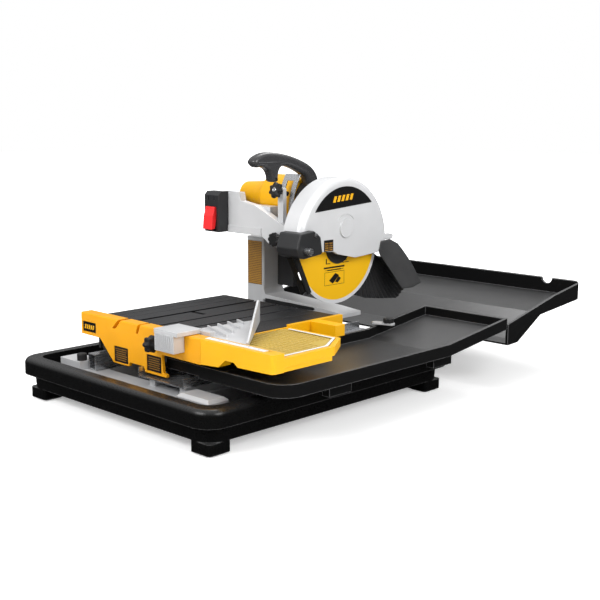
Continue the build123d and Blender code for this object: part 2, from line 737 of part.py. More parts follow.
with BuildPart() as motor_housing:
    with BuildSketch(Plane(origin=(0, MOTOR_Y, MOTOR_Z), x_dir=(1, 0, 0), z_dir=(0, -1, 0))):
        with BuildLine():
            Polyline(
                (-262, 0), (-262, 22), (-254, 29), (-206, 32), (-186, 36),
                (-168, MOTOR_R), (-100, MOTOR_R), (-100, MOTOR_R - 4), (-166, MOTOR_R - 4),
                (-184, 32), (-205, 28), (-252, 25), (-257, 20), (-257, 0), close=True,
            )
        make_face()
    revolve(axis=Axis((0, MOTOR_Y, MOTOR_Z), (1, 0, 0)))
    with Locations((-128, MOTOR_Y, MOTOR_Z + MOTOR_R)):
        with GridLocations(9, 1, 4, 1):
            Box(4, 36, 12, mode=Mode.SUBTRACT)

with BuildPart() as stator:
    with BuildSketch(yz(-168)):
        with Locations((MOTOR_Y, MOTOR_Z)):
            Circle(MOTOR_R - 6)
            Circle(22, mode=Mode.SUBTRACT)
    extrude(amount=50)

PULLEY_X = -52
SMALL_PULLEY, BIG_PULLEY = 15, 25
with BuildPart() as armature:
    with BuildSketch(yz(-250)):
        with Locations((MOTOR_Y, MOTOR_Z)):
            Circle(5)
    extrude(amount=224)
    with BuildSketch(yz(-172)):
        with Locations((MOTOR_Y, MOTOR_Z)):
            Circle(20)
    extrude(amount=54)
    with BuildSketch(yz(-214)):
        with Locations((MOTOR_Y, MOTOR_Z)):
            Circle(13)
    extrude(amount=22)
    with BuildSketch(yz(-114)):
        with Locations((MOTOR_Y, MOTOR_Z)):
            Circle(12)
            with PolarLocations(21, 9):
                Rectangle(24, 3)
    extrude(amount=7)
    with BuildSketch(yz(PULLEY_X)):
        with Locations((MOTOR_Y, MOTOR_Z)):
            Circle(SMALL_PULLEY)
    extrude(amount=14)

with BuildPart() as spindle_pulley:
    with BuildSketch(yz(PULLEY_X)):
        with Locations((BLADE_Y, BLADE_Z)):
            Circle(BIG_PULLEY)
            Circle(8, mode=Mode.SUBTRACT)
    extrude(amount=14)

with BuildPart() as drive_belt:
    for grow, mode in ((2.6, Mode.ADD), (0.1, Mode.SUBTRACT)):
        with BuildSketch(yz(PULLEY_X + 1)):
            with Locations((MOTOR_Y, MOTOR_Z)):
                Circle(SMALL_PULLEY + grow)
            with Locations((BLADE_Y, BLADE_Z)):
                Circle(BIG_PULLEY + grow)
            make_hull()
        extrude(amount=12, mode=mode)

HEAD_LEFT, HEAD_RIGHT = -92, -6
with BuildPart() as head_casting:
    with BuildSketch(yz(HEAD_LEFT)):
        with Locations((MOTOR_Y, MOTOR_Z)):
            Circle(40)
        with Locations((BLADE_Y + 1, BLADE_Z)):
            Circle(34)
        with Locations((BLADE_Y + 12, 352)):
            Rectangle(46, 110)
    extrude(amount=HEAD_RIGHT - HEAD_LEFT)
    with BuildSketch(yz(HEAD_LEFT + 8)):
        with Locations((MOTOR_Y, MOTOR_Z), (BLADE_Y + 1, BLADE_Z)):
            Circle(29)
        with Locations((BLADE_Y, 345)):
            Rectangle(58, 95)
    extrude(amount=HEAD_RIGHT - HEAD_LEFT - 14, mode=Mode.SUBTRACT)
    with BuildSketch(yz(HEAD_LEFT - 73)):
        with Locations((MOTOR_Y, MOTOR_Z)):
            Circle(MOTOR_R + 5)
        with Locations((88, 376)):
            Rectangle(34, 26)
        with Locations((PLUNGE_Y, PLUNGE_Z)):
            Circle(14)
    extrude(amount=56)
    with BuildSketch(yz(HEAD_LEFT - 17)):
        with Locations((MOTOR_Y, MOTOR_Z)):
            Circle(MOTOR_R + 5)
    extrude(amount=17)
    with BuildSketch(yz(HEAD_LEFT - 74)):
        with Locations((MOTOR_Y, MOTOR_Z)):
            Circle(MOTOR_R + 0.2)
    extrude(amount=70, mode=Mode.SUBTRACT)
    with BuildSketch(yz(HEAD_LEFT - 78)):
        with Locations((PLUNGE_Y, PLUNGE_Z)):
            Circle(PLUNGE_PIN_R + SHAFT_GAP)
    extrude(amount=80, mode=Mode.SUBTRACT)
    with BuildSketch(yz(HEAD_LEFT - 10)):
        with Locations((MOTOR_Y, MOTOR_Z)):
            Circle(12)
    extrude(amount=20, mode=Mode.SUBTRACT)
    with BuildSketch(yz(HEAD_RIGHT - 10)):
        with Locations((BLADE_Y, BLADE_Z)):
            Circle(19)
    extrude(amount=20, mode=Mode.SUBTRACT)

BEARING_R = 19
with BuildPart() as spindle_bearings:
    for x in (HEAD_LEFT + 10, HEAD_RIGHT - 8):
        with BuildSketch(yz(x)):
            with Locations((BLADE_Y, BLADE_Z)):
                Circle(BEARING_R - 0.1)
                Circle(8 + SHAFT_GAP, mode=Mode.SUBTRACT)
        extrude(amount=7)

with BuildPart() as spindle:
    with BuildSketch(yz(HEAD_LEFT + 9)):
        with Locations((BLADE_Y, BLADE_Z)):
            Circle(8)
    extrude(amount=124)

with BuildPart() as blade:
    with BuildSketch(yz(BLADE_X - BLADE_T / 2)):
        with Locations((BLADE_Y, BLADE_Z)):
            Circle(BLADE_R)
            Circle(8, mode=Mode.SUBTRACT)
    extrude(amount=BLADE_T)

with BuildPart() as blade_flanges:
    for x, thick in ((BLADE_X - 5, 3.9), (BLADE_X + 1.1, 5)):
        with BuildSketch(yz(x)):
            with Locations((BLADE_Y, BLADE_Z)):
                Circle(40)
                Circle(8, mode=Mode.SUBTRACT)
        extrude(amount=thick)
    chamfer(blade_flanges.faces().sort_by(Axis.X)[-1].edges().sort_by(SortBy.RADIUS)[-1], 2)

with BuildPart() as blade_nut:
    with BuildSketch(yz(BLADE_X + 6.2)):
        with Locations((BLADE_Y, BLADE_Z)):
            RegularPolygon(13, 6)
            Circle(8, mode=Mode.SUBTRACT)
    extrude(amount=8)

# ---- blade guard --------------------------------------------------------------
GUARD_Y, GUARD_Z, GUARD_R = 29, 303, 141
GUARD_OUT, GUARD_IN = 54, 0
GUARD_WALL = 4


def guard_sketch(plane, inset):
    """Guard outline: a big circle trimmed by the lower edge line."""
    with BuildSketch(plane, mode=Mode.PRIVATE) as outline:
        with Locations((GUARD_Y, GUARD_Z)):
            Circle(GUARD_R - inset)
        with BuildLine():
            Polyline(
                (-200, 300), (-60, 292), (-8, 289), (6, 282 + inset), (62, 270 + inset),
                (138, 275 + inset), (172, 292 + inset), (220, 300), (220, 60), (-200, 60),
                close=True,
            )
        make_face(mode=Mode.SUBTRACT)
    return outline.sketch


with BuildPart() as guard:
    extrude(guard_sketch(yz(GUARD_IN + 4.2), 0), amount=GUARD_OUT - GUARD_IN - 4.2)
    fillet(guard.edges().filter_by(GeomType.CIRCLE).sort_by(Axis.X)[-1], 14)
    with BuildSketch(yz(GUARD_IN + 4)):
        with Locations((GUARD_Y, GUARD_Z)):
            Circle(GUARD_R - GUARD_WALL)
        with Locations((GUARD_Y, GUARD_Z - GUARD_R)):
            Rectangle(2 * (GUARD_R - GUARD_WALL), 2 * GUARD_R)
    extrude(amount=GUARD_OUT - GUARD_IN - 10, mode=Mode.SUBTRACT)
    with BuildSketch(yz(GUARD_OUT - 6)):
        with Locations((30, 336)):
            Circle(20)
    extrude(amount=9)
    with BuildSketch(yz(GUARD_OUT - 16)):
        with Locations((177, 306)):
            SlotOverall(34, 12)
    extrude(amount=12)
    with BuildSketch(yz(GUARD_OUT - 14)):
        for k in range(4):
            with Locations((GUARD_Y + GUARD_R * 0.97, GUARD_Z + 58 + 12 * k)):
                Rectangle(12, 7)
    extrude(amount=8, mode=Mode.SUBTRACT)

with BuildPart() as guard_backplate:
    extrude(guard_sketch(yz(GUARD_IN), 3), amount=4)
    with BuildSketch(yz(GUARD_IN - 2)):
        with Locations((BLADE_Y, BLADE_Z)):
            Circle(22)
    extrude(amount=10, mode=Mode.SUBTRACT)

with BuildPart() as guard_badge:
    with BuildSketch(yz(GUARD_OUT + 0.1)):
        with BuildLine():
            Line((-66, 375), (113, 387))
            ThreePointArc((113, 387), (30, 425), (-66, 375))
        make_face()
    extrude(amount=0.8)
    with BuildSketch(yz(GUARD_OUT + 0.1)):
        with Locations((-24, 303)):
            Rectangle(28, 24)
    extrude(amount=0.8)

BLOCK_OUT = 70
with BuildPart() as front_block:
    with BuildSketch(yz(10)):
        with BuildLine():
            Polyline(
                (-124, 336), (-84, 340), (-64, 326), (-58, 290), (-112, 284), (-130, 290),
                (-134, 306), close=True,
            )
        make_face()
    extrude(amount=BLOCK_OUT - 10)
    fillet(front_block.edges().filter_by(Axis.X), 6)
    fillet(front_block.faces().sort_by(Axis.X)[-1].edges(), 3)
    with BuildSketch(yz(0)):
        with Locations((GUARD_Y, GUARD_Z)):
            Circle(GUARD_R + 0.5)
    extrude(amount=GUARD_OUT + 0.5, mode=Mode.SUBTRACT)

with BuildPart() as guard_screws:
    for y, z, x in ((-80, 331, 70.1), (152, 292, 54.1), (176, 293, 54.1)):
        with BuildSketch(yz(x)):
            with Locations((y, z)):
                Circle(4)
        extrude(amount=2.5)
    with BuildSketch(yz(BLOCK_OUT + 0.2)):
        with Locations((-108, 300)):
            Circle(7)
    extrude(amount=14)

with BuildPart() as water_nozzles:
    for x in (BLADE_X - 12, BLADE_X + 9):
        with BuildSketch(yz(x)):
            with BuildLine():
                Polyline((-110, 282), (-96, 282), (-58, 206), (-68, 202), close=True)
            make_face()
        extrude(amount=3)

with BuildPart() as water_hoses:
    for z in (312, 322):
        with BuildSketch(Plane.XY.offset(z)):
            with BuildLine():
                Polyline((9.8, -126), (9.8, -120), (-4, -117), (-16, -92), (-19, -66), (-25, -66),
                         (-22, -95), (-8, -122), close=True)
            make_face()
        extrude(amount=4.5)

# ---- splash skirt behind the blade ----------------------------------------------
with BuildPart() as splash_curtain:
    with BuildSketch(yz(BLADE_X - 19)):
        with BuildLine():
            Polyline((84, 266), (136, 262), (172, 264), (290, 174), (258, 151), (143, 165),
                     (72, 187), close=True)
        make_face()
    extrude(amount=14)

with BuildPart() as rear_flap:
    with BuildSketch(yz(GUARD_OUT + 0.2)):
        with BuildLine():
            Polyline((138, 276), (144, 300), (176, 302), (204, 290), (296, 188), (220, 182),
                     close=True)
        make_face()
    extrude(amount=4)
    with Locations((GUARD_OUT + 3, 152, 292), (GUARD_OUT + 3, 176, 293)):
        Box(12, 10, 10, mode=Mode.SUBTRACT)

# ---- handle and depth stop ----------------------------------------------------
HANDLE_X = -44
with BuildPart() as handle:
    with BuildSketch(yz(HANDLE_X - 13)):
        with BuildLine():
            Spline((-146, 490), (-112, 498), (-60, 492), (-12, 478))
            Spline((-12, 478), (18, 466), (36, 446), (40, 424))
            Line((40, 424), (12, 424))
            Spline((12, 424), (2, 444), (-20, 454))
            Spline((-20, 454), (-50, 466), (-74, 466), (-84, 454), (-84, 435))
            Line((-84, 435), (-105, 435))
            Spline((-105, 435), (-112, 453), (-126, 464), (-146, 466))
            ThreePointArc((-146, 466), (-158, 478), (-146, 490))
        make_face()
    extrude(amount=26)
    add(Pos(HANDLE_X, MOTOR_Y, MOTOR_Z) * (Rot(0, 90, 0) * Cylinder(40.3, 140, mode=Mode.PRIVATE)),
        mode=Mode.SUBTRACT)

with BuildPart() as depth_strap:
    with BuildSketch(yz(STRAP_X - 22)):
        with Locations((PLUNGE_Y, PLUNGE_Z)):
            Circle(STRAP_R + 1.5)
            Circle(STRAP_R - 1.5, mode=Mode.SUBTRACT)
        with BuildLine():
            Polyline((105, 369), (-95, 242), (-95, 150), (400, 150), (400, 600), (20, 600),
                     (-25, 454), close=True)
        make_face(mode=Mode.SUBTRACT)
    extrude(amount=44)
    with Locations((STRAP_X, -40, 375)):
        Box(20, 60, 118, mode=Mode.SUBTRACT)
    with Locations((-41, -13, 308)):
        Box(8, 30, 10)

with BuildPart() as depth_knob:
    with Locations(knob_axis.offset(STRAP_R + 30)):
        add(star_knob(17, 12, 7, 3))
    with BuildSketch(knob_axis.offset(STRAP_R - 3.5)):
        Circle(KNOB_STEM_R)
    extrude(amount=34)

# ---- write the pieces ---------------------------------------------------------
PIECES = {name: piece for name, piece in list(globals().items()) if isinstance(piece, BuildPart)}
for label, piece in PIECES.items():
    piece.part.label = label
    export_step(piece.part, f"parts/{label}.step")
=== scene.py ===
import json
import math

import bmesh
import bpy
from mathutils import Matrix, Vector


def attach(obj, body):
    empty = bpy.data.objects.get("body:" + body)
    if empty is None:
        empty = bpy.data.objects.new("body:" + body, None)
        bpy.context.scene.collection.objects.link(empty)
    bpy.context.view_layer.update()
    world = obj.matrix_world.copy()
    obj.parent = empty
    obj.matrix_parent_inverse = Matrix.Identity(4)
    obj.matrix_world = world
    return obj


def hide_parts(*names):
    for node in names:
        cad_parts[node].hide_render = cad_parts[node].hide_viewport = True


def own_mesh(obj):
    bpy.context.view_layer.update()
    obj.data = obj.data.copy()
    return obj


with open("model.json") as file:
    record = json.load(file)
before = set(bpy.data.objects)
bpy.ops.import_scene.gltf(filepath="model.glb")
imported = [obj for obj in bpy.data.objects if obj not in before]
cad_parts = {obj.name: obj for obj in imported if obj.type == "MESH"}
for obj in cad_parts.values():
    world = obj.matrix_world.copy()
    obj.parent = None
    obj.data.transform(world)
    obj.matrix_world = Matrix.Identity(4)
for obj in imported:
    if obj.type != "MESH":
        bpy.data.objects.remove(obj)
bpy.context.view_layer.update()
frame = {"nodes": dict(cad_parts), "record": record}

MM = 0.001
BLADE = Vector((0.026, 0.035, 0.297))  # blade centre; its axle runs along X


# ---- node material helpers ------------------------------------------------------
def new_material(name):
    """Empty node material with a Principled shader wired to the output."""
    mat = bpy.data.materials.new(name)
    mat.use_nodes = True
    tree = mat.node_tree
    tree.nodes.clear()
    out = tree.nodes.new("ShaderNodeOutputMaterial")
    shader = tree.nodes.new("ShaderNodeBsdfPrincipled")
    tree.links.new(shader.outputs[0], out.inputs[0])
    return mat, tree, shader


def noise(tree, scale, detail=4.0, rough=0.55, stretch=(1, 1, 1)):
    """Noise in the row frame, so its grain keeps one scale over every piece."""
    coord = tree.nodes.new("ShaderNodeTexCoord")
    mapping = tree.nodes.new("ShaderNodeMapping")
    mapping.inputs["Scale"].default_value = stretch
    tex = tree.nodes.new("ShaderNodeTexNoise")
    tex.inputs["Scale"].default_value = scale
    tex.inputs["Detail"].default_value = detail
    tex.inputs["Roughness"].default_value = rough
    tree.links.new(coord.outputs["Object"], mapping.inputs["Vector"])
    tree.links.new(mapping.outputs[0], tex.inputs["Vector"])
    return tex.outputs["Fac"]


def remap(tree, value, low, high):
    """Value noise stretched to run from low to high."""
    node = tree.nodes.new("ShaderNodeMapRange")
    node.inputs["From Min"].default_value = 0.3
    node.inputs["From Max"].default_value = 0.7
    node.inputs["To Min"].default_value = low
    node.inputs["To Max"].default_value = high
    tree.links.new(value, node.inputs["Value"])
    return node.outputs[0]


def mix_color(tree, fac, a, b):
    """Colour mix; a and b are colours or sockets."""
    node = tree.nodes.new("ShaderNodeMix")
    node.data_type = "RGBA"
    for socket, value in ((node.inputs[6], a), (node.inputs[7], b)):
        if isinstance(value, tuple):
            socket.default_value = (*value, 1)
        else:
            tree.links.new(value, socket)
    if isinstance(fac, float):
        node.inputs[0].default_value = fac
    else:
        tree.links.new(fac, node.inputs[0])
    return node.outputs[2]


def edge_wear_and_highlight(tree, radius):
    """1 near sharp edges, 0 on flats: bevelled normal compared with the true one; the lighter edge colour
    laid on it is part wear and part painted highlight.
    """
    bevel = tree.nodes.new("ShaderNodeBevel")
    bevel.samples = 4
    bevel.inputs["Radius"].default_value = radius
    geo = tree.nodes.new("ShaderNodeNewGeometry")
    dot = tree.nodes.new("ShaderNodeVectorMath")
    dot.operation = "DOT_PRODUCT"
    tree.links.new(bevel.outputs[0], dot.inputs[0])
    tree.links.new(geo.outputs["Normal"], dot.inputs[1])
    rim_wear_and_highlight = tree.nodes.new("ShaderNodeMapRange")
    rim_wear_and_highlight.inputs["From Min"].default_value = 0.98
    rim_wear_and_highlight.inputs["From Max"].default_value = 0.75
    tree.links.new(dot.outputs["Value"], rim_wear_and_highlight.inputs["Value"])
    return bevel.outputs[0], rim_wear_and_highlight.outputs[0]


def printed_rows(tree, scale, share):
    """Level rows of fine print with no letters: bands across Z broken by noise."""
    coord = tree.nodes.new("ShaderNodeTexCoord")
    band = tree.nodes.new("ShaderNodeTexWave")
    band.bands_direction = "Z"
    band.inputs["Scale"].default_value = scale / 2.0
    tree.links.new(coord.outputs["Object"], band.inputs["Vector"])
    gaps = remap(tree, noise(tree, 900.0, 1.0), 0.0, 1.0)
    both = tree.nodes.new("ShaderNodeMath")
    both.operation = "MULTIPLY"
    tree.links.new(band.outputs["Fac"], both.inputs[0])
    tree.links.new(gaps, both.inputs[1])
    cut = tree.nodes.new("ShaderNodeMapRange")
    cut.inputs["From Min"].default_value = share - 0.1
    cut.inputs["From Max"].default_value = share + 0.1
    cut.inputs["To Max"].default_value = 0.85
    tree.links.new(both.outputs[0], cut.inputs["Value"])
    return cut.outputs[0]


def blade_surface():
    """Painted blade body with a bare, faintly scored steel rim."""
    mat, tree, shader = new_material("blade_yellow")
    coord = tree.nodes.new("ShaderNodeTexCoord")
    centre = tree.nodes.new("ShaderNodeVectorMath")
    centre.operation = "SUBTRACT"
    centre.inputs[1].default_value = BLADE
    flat = tree.nodes.new("ShaderNodeVectorMath")
    flat.operation = "MULTIPLY"
    flat.inputs[1].default_value = (0, 1, 1)
    length = tree.nodes.new("ShaderNodeVectorMath")
    length.operation = "LENGTH"
    tree.links.new(coord.outputs["Object"], centre.inputs[0])
    tree.links.new(centre.outputs[0], flat.inputs[0])
    tree.links.new(flat.outputs[0], length.inputs[0])
    rim = tree.nodes.new("ShaderNodeMapRange")
    rim.inputs["From Min"].default_value = 0.1185
    rim.inputs["From Max"].default_value = 0.1192
    tree.links.new(length.outputs["Value"], rim.inputs["Value"])
    fine = noise(tree, 1300.0)
    paint = mix_color(tree, fine, (1.0, 0.52, 0.004), (1.0, 0.58, 0.008))
    steel = mix_color(tree, fine, (0.62, 0.62, 0.63), (0.8, 0.8, 0.81))
    tree.links.new(mix_color(tree, rim.outputs[0], paint, steel), shader.inputs["Base Color"])
    shader.inputs["Metallic"].default_value = 0.15
    tree.links.new(remap(tree, fine, 0.28, 0.42), shader.inputs["Roughness"])
    bumper = tree.nodes.new("ShaderNodeBump")
    bumper.inputs["Strength"].default_value = 0.1
    bumper.inputs["Distance"].default_value = 0.3 * MM
    tree.links.new(fine, bumper.inputs["Height"])
    tree.links.new(bumper.outputs[0], shader.inputs["Normal"])
    return mat


def facing_up(tree, low, high):
    """Value that runs from low on upright sides to high on faces that look up; surface() uses it to paint
    shade on upright sides.
    """
    geometry = tree.nodes.new("ShaderNodeNewGeometry")
    split = tree.nodes.new("ShaderNodeSeparateXYZ")
    node = tree.nodes.new("ShaderNodeMapRange")
    node.inputs["From Min"].default_value = 0.25
    node.inputs["From Max"].default_value = 0.8
    node.inputs["To Min"].default_value = low
    node.inputs["To Max"].default_value = high
    tree.links.new(geometry.outputs["Normal"], split.inputs[0])
    tree.links.new(split.outputs["Z"], node.inputs["Value"])
    return node.outputs[0]


def surface(name, color, rough, metal=0.0, vary=0.12, grain=900.0, bump=0.15, coat=0.0,
            edge=None, stretch=(1, 1, 1), edge_radius=1.2 * MM, specular=0.5, lines=None,
            wall_shade=1.0):
    """Moulded, cast or brushed finish: blotches, fine grain, rounded edges with lighter rims that are part
    wear and part painted highlight, and painted shade on upright sides when the wall shade factor is below
    1.
    """
    mat, tree, shader = new_material(name)
    shader.inputs["Specular IOR Level"].default_value = specular
    broad = noise(tree, 9.0, 3.0)
    dark = tuple(c * (1 - vary) for c in color)
    light = tuple(min(1.0, c * (1 + vary)) for c in color)
    base = mix_color(tree, remap(tree, broad, 0.0, 1.0), dark, light)
    # painted shade: upright sides get a darker copy of the colour and a lower specular level than faces
    # that look up
    if wall_shade < 1.0:
        painted_wall_shade = tuple(c * wall_shade for c in color)
        base = mix_color(tree, facing_up(tree, 0.0, 1.0), painted_wall_shade, base)
        wall_shade_gloss = facing_up(tree, specular * wall_shade, specular)
        tree.links.new(wall_shade_gloss, shader.inputs["Specular IOR Level"])
    normal, rim_wear_and_highlight = edge_wear_and_highlight(tree, edge_radius)
    # lighter edge colour on the rims: part wear, part painted highlight
    if edge:
        base = mix_color(tree, rim_wear_and_highlight, base, edge)
    if lines:
        base = mix_color(tree, printed_rows(tree, *lines), base, (0.02, 0.015, 0.01))
    tree.links.new(base, shader.inputs["Base Color"])
    fine = noise(tree, grain, 3.0, 0.6, stretch)
    tree.links.new(remap(tree, fine, rough * 0.8, min(1.0, rough * 1.2)), shader.inputs["Roughness"])
    shader.inputs["Metallic"].default_value = metal
    shader.inputs["Coat Weight"].default_value = coat
    shader.inputs["Coat Roughness"].default_value = 0.25
    bumper = tree.nodes.new("ShaderNodeBump")
    bumper.inputs["Strength"].default_value = bump
    bumper.inputs["Distance"].default_value = 0.4 * MM
    tree.links.new(fine, bumper.inputs["Height"])
    tree.links.new(normal, bumper.inputs["Normal"])
    tree.links.new(bumper.outputs[0], shader.inputs["Normal"])
    return mat


MATERIALS = {
    # black_tub and tray_plastic paint shade on their upright sides through their wall shade factor
    "black_tub": surface("tub_black", (0.011, 0.011, 0.0113), 0.3, vary=0.3, grain=520, bump=0.1,
                         edge=(0.13, 0.13, 0.132), edge_radius=2.6 * MM, specular=0.5,
                         wall_shade=0.28),
    # tray_plastic and black_tub above it: their light edge colours are painted highlights along the rims
    "tray_plastic": surface("tray_charcoal", (0.032, 0.0322, 0.033), 0.33, vary=0.22, grain=800,
                            bump=0.14, edge=(0.24, 0.24, 0.245), edge_radius=2.2 * MM, specular=0.55,
                            wall_shade=0.18),
    "rubber_black": surface("moulded_rubber", (0.011, 0.011, 0.0115), 0.52, vary=0.3, grain=1400,
                            bump=0.25, specular=0.4),
    "yellow_paint": surface("yellow_coat", (0.75, 0.325, 0.001), 0.45, vary=0.06, grain=1200,
                            bump=0.12, edge=(0.98, 0.48, 0.03), specular=0.3),
    "yellow_plastic": surface("yellow_moulded", (0.78, 0.39, 0.001), 0.4, vary=0.05, grain=1500,
                              bump=0.1, edge=(1.0, 0.52, 0.03), specular=0.35),
    "pale_yellow": surface("deck_pale_yellow", (0.47, 0.33, 0.055), 0.45, vary=0.1, grain=900,
                           bump=0.15, edge=(0.95, 0.7, 0.3), edge_radius=0.8 * MM, specular=0.35),
    "table_grey": surface("table_coat", (0.014, 0.0145, 0.016), 0.52, vary=0.18, grain=1600,
                          bump=0.3, edge=(0.07, 0.07, 0.075), specular=0.3),
    "silver_paint": surface("silver_coat", (0.62, 0.625, 0.635), 0.38, metal=0.15, vary=0.05,
                            grain=1400, bump=0.18, edge=(0.75, 0.75, 0.76), edge_radius=2 * MM),
    "cast_alloy": surface("cast_alloy", (0.58, 0.585, 0.595), 0.38, metal=0.3, vary=0.12,
                          grain=1100, bump=0.35, edge=(0.75, 0.75, 0.76), edge_radius=1.8 * MM),
    "steel": surface("brushed_steel", (0.6, 0.61, 0.63), 0.28, metal=0.95, vary=0.06, grain=700,
                     bump=0.12, stretch=(1, 0.06, 1)),
    "dark_plastic": surface("dark_moulded", (0.019, 0.0195, 0.021), 0.46, vary=0.18, grain=1500,
                            bump=0.25, edge=(0.06, 0.06, 0.065), specular=0.42),
    "red_plastic": surface("red_moulded", (0.85, 0.02, 0.022), 0.35, vary=0.08, grain=1500,
                           bump=0.08, edge=(0.9, 0.1, 0.1)),
    "label_ink": surface("label_black", (0.006, 0.006, 0.0065), 0.33, vary=0.2, grain=900, bump=0.03),
    "label_amber": surface("label_amber", (0.42, 0.2, 0.02), 0.45, vary=0.25, grain=600, bump=0.04,
                           lines=(150.0, 0.35)),
    "scale_white": surface("scale_white", (0.72, 0.72, 0.71), 0.4, vary=0.05, grain=900, bump=0.03),
    "blade_face": blade_surface(),
    "copper": surface("copper_winding", (0.6, 0.28, 0.12), 0.35, metal=0.9, vary=0.2, grain=900,
                      bump=0.4),
}

node_slot = {entry["node"]: entry["material_slot"] for entry in frame["record"]["subparts"]}
for node_name, obj in frame["nodes"].items():
    mat = MATERIALS[node_slot[node_name]]
    if not obj.material_slots:
        obj.data.materials.append(mat)
    for material_slot in obj.material_slots:
        material_slot.material = mat


# ---- mesh pieces ------------------------------------------------------------------
def finish_piece(obj, slot, body, replaced=()):
    """Gives a new piece its finish and the body it rides on."""
    obj.data.materials.append(MATERIALS[slot])
    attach(obj, body)
    if replaced:
        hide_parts(*replaced)
    return obj


def mesh_piece(name, verts, faces, slot, body, smooth=True, replaced=()):
    """Piece from plain vertex and face lists, in metres in the row frame."""
    mesh = bpy.data.meshes.new(name)
    mesh.from_pydata(verts, [], faces)
    shape = bmesh.new()
    shape.from_mesh(mesh)
    bmesh.ops.recalc_face_normals(shape, faces=shape.faces)
    shape.to_mesh(mesh)
    shape.free()
    for polygon in mesh.polygons:
        polygon.use_smooth = smooth
    obj = bpy.data.objects.new(name, mesh)
    bpy.context.scene.collection.objects.link(obj)
    return finish_piece(obj, slot, body, replaced)


def rounded(points, per=10):
    """Closed smooth outline through the points."""
    out = []
    count = len(points)
    for i in range(count):
        p0, p1, p2, p3 = (Vector(points[(i + k - 1) % count]) for k in range(4))
        for step in range(per):
            t = step / per
            out.append(0.5 * (2 * p1 + (p2 - p0) * t + (2 * p0 - 5 * p1 + 4 * p2 - p3) * t * t
                              + (3 * p1 - 3 * p2 + p3 - p0) * t * t * t))
    return out


def from_curve(name, curve, placement, slot, body, replaced=()):
    """Piece whose mesh is the bevelled curve's surface, welded and smooth."""
    draft = bpy.data.objects.new(name + "_path", curve)
    bpy.context.scene.collection.objects.link(draft)
    bpy.context.view_layer.update()
    solid = draft.evaluated_get(bpy.context.evaluated_depsgraph_get())
    mesh = bpy.data.meshes.new_from_object(solid)
    bpy.data.objects.remove(draft)
    shape = bmesh.new()
    shape.from_mesh(mesh)
    bmesh.ops.remove_doubles(shape, verts=shape.verts, dist=1e-6)
    shape.transform(placement)
    bmesh.ops.recalc_face_normals(shape, faces=shape.faces)
    shape.to_mesh(mesh)
    shape.free()
    mesh.materials.clear()
    for polygon in mesh.polygons:
        polygon.use_smooth = True
    obj = bpy.data.objects.new(name, mesh)
    bpy.context.scene.collection.objects.link(obj)
    return finish_piece(obj, slot, body, replaced)


def side_casting(name, outline, x_mid, width, roll, slot, body, replaced=()):
    """Rolled-edge solid from a side-view outline: a filled curve with a round bevel."""
    curve = bpy.data.curves.new(name, "CURVE")
    curve.dimensions = "2D"
    curve.fill_mode = "BOTH"
    curve.extrude = (width / 2 - roll) * MM
    curve.bevel_depth = roll * MM
    curve.bevel_resolution = 5
    curve.offset = -roll * MM
    spline = curve.splines.new("POLY")
    spline.points.add(len(outline) - 1)
    for point, (y, z) in zip(spline.points, outline):
        point.co = (y * MM, z * MM, 0, 1)
    spline.use_cyclic_u = True
    placement = Matrix(((0, 0, 1, x_mid * MM), (1, 0, 0, 0), (0, 1, 0, 0), (0, 0, 0, 1)))
    return from_curve(name, curve, placement, slot, body, replaced)


def tube(name, points, radius, slot, body, replaced=()):
    """Hose along a smooth path."""
    curve = bpy.data.curves.new(name, "CURVE")
    curve.dimensions = "3D"
    curve.bevel_depth = radius * MM
    curve.bevel_resolution = 5
    curve.use_fill_caps = True
    spline = curve.splines.new("NURBS")
    spline.points.add(len(points) - 1)
    for point, place in zip(spline.points, points):
        point.co = (*(Vector(place) * MM), 1)
    spline.use_endpoint_u = True
    spline.order_u = 4
    spline.resolution_u = 12
    return from_curve(name, curve, Matrix.Identity(4), slot, body, replaced)


def turned(name, centre, axis, rings, slot, body, lobes=0, depth=0.0, replaced=(), steps=96):
    """Solid turned about an axis from (distance, radius) rings in mm, with finger lobes."""
    spin = Vector(axis).to_track_quat("Z", "Y").to_matrix()
    verts, faces = [], []
    for distance, radius in rings:
        for k in range(steps):
            angle = 2 * math.pi * k / steps
            swell = 1 + depth * math.cos(lobes * angle) * min(1.0, radius / rings[1][1])
            local = Vector((radius * swell * math.cos(angle), radius * swell * math.sin(angle),
                            distance))
            verts.append((Vector(centre) + spin @ local) * MM)
    for row in range(len(rings) - 1):
        for k in range(steps):
            a, b = row * steps + k, row * steps + (k + 1) % steps
            faces.append((a, b, b + steps, a + steps))
    faces.append(tuple(range(steps)))
    faces.append(tuple(range((len(rings) - 1) * steps, len(rings) * steps)))
    return mesh_piece(name, verts, faces, slot, body, replaced=replaced)


def finger_knob(name, centre, axis, radius, height, body, stem=0.0, replaced=()):
    """Seven-lobed knob with a soft rim, and a bright screw in its middle."""
    crown = [(0, radius * 0.55), (height * 0.08, radius * 0.86), (height * 0.2, radius * 0.92),
             (height * 0.75, radius * 0.92), (height * 0.93, radius * 0.84), (height, radius * 0.68)]
    if stem:
        crown = [(-stem, 5), (-0.1, 5)] + crown
    turned(name, centre, axis, crown, "rubber_black", body, 7, 0.13, replaced)
    end = Vector(centre) + Vector(axis).normalized() * height
    turned(name + "_screw", end, axis, [(-1, 0.3 * radius), (0.2, 0.3 * radius),
                                        (0.8, 0.24 * radius), (0.5, 0.12 * radius),
                                        (-0.2, 0.1 * radius)], "steel", body, steps=36)


